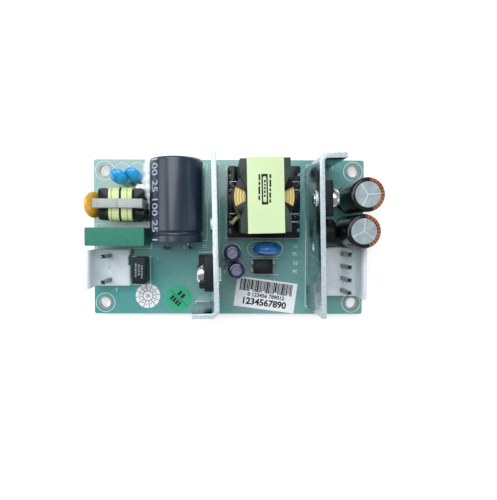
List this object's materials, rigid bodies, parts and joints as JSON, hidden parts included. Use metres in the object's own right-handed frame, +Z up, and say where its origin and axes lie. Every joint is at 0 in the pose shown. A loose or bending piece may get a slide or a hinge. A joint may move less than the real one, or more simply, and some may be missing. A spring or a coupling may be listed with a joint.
{
  "type": "open frame power supply",
  "caption": "Open frame switching power supply: bare board with inlet header, line filter, bulk capacitor, transformer, two heatsinks and outlet header.",
  "frame": {"origin": "centre of the four mounting holes, on the underside of the board", "axes": "+Z up through the board towards the components, +X along the board from the inlet header to the outlet header"},
  "size_m": [0.0897, 0.051, 0.0275],
  "materials": {
    "board": "green solder mask",
    "solder": "bright solder",
    "nylon": "natural nylon",
    "tinned": "tinned wire",
    "black_plastic": "moulded black",
    "epoxy_mould": "moulding compound",
    "yellow_epoxy": "dipped epoxy",
    "blue_epoxy": "dipped epoxy",
    "green_case": "moulded green",
    "ferrite": "ground ferrite",
    "winding_tape": "polyester tape",
    "core_tape": "polyester tape",
    "can": "drawn aluminium",
    "bulk_sleeve": "shrunk sleeve",
    "output_sleeve": "shrunk sleeve",
    "small_sleeve": "shrunk sleeve",
    "bung": "rubber",
    "silicone": "white silicone",
    "sheet": "brushed sheet",
    "zinc": "zinc plated",
    "shrink": "shrunk tube",
    "paper": "paper label",
    "green_paper": "printed label",
    "chip_black": "moulded",
    "chip_tan": "ceramic"
  },
  "bodies": {
    "root": {"circuit_board": "board", "solder_joints": "solder", "inlet_housing": "nylon", "inlet_pins": "tinned", "outlet_housing": "nylon", "outlet_pins": "tinned", "fuse_body": "black_plastic", "fuse_leads": "tinned", "varistor_disc": "yellow_epoxy", "varistor_leads": "tinned", "film_capacitor_case": "green_case", "film_capacitor_leads": "tinned", "filter_choke_core": "ferrite", "filter_choke_bobbin": "black_plastic", "filter_choke_windings": "winding_tape", "filter_choke_pins": "tinned", "left_disc_capacitor": "blue_epoxy", "right_disc_capacitor": "blue_epoxy", "disc_capacitor_leads": "tinned", "bulk_capacitor_can": "can", "bulk_capacitor_sleeve": "bulk_sleeve", "bulk_capacitor_bung": "bung", "bulk_capacitor_leads": "tinned", "silicone_bead": "silicone", "primary_heatsink": "sheet", "switch_transistor": "epoxy_mould", "switch_transistor_legs": "tinned", "switch_transistor_screw": "zinc", "transformer_core_lower": "ferrite", "transformer_core_upper": "ferrite", "transformer_bobbin": "black_plastic", "transformer_winding": "winding_tape", "transformer_tape": "core_tape", "transformer_pins": "tinned", "transformer_lead_outs": "tinned", "secondary_heatsink": "sheet", "output_rectifier": "epoxy_mould", "output_rectifier_legs": "tinned", "output_rectifier_screw": "zinc", "output_capacitor_cans": "can", "output_capacitor_sleeves": "output_sleeve", "output_capacitor_bungs": "bung", "output_capacitor_leads": "tinned", "output_choke": "shrink", "output_choke_leads": "tinned", "small_capacitor_cans": "can", "small_capacitor_sleeves": "small_sleeve", "small_capacitor_bungs": "bung", "small_capacitor_leads": "tinned", "bridging_disc_capacitor": "blue_epoxy", "bridging_disc_leads": "tinned", "optocoupler_body": "epoxy_mould", "optocoupler_legs": "tinned", "paper_label": "paper", "date_sticker": "paper", "check_sticker": "green_paper", "bridge_rectifier": "chip_black", "controller_chip": "chip_black", "chip_resistors": "chip_black", "chip_capacitors": "chip_tan"}
  },
  "joints": []
}
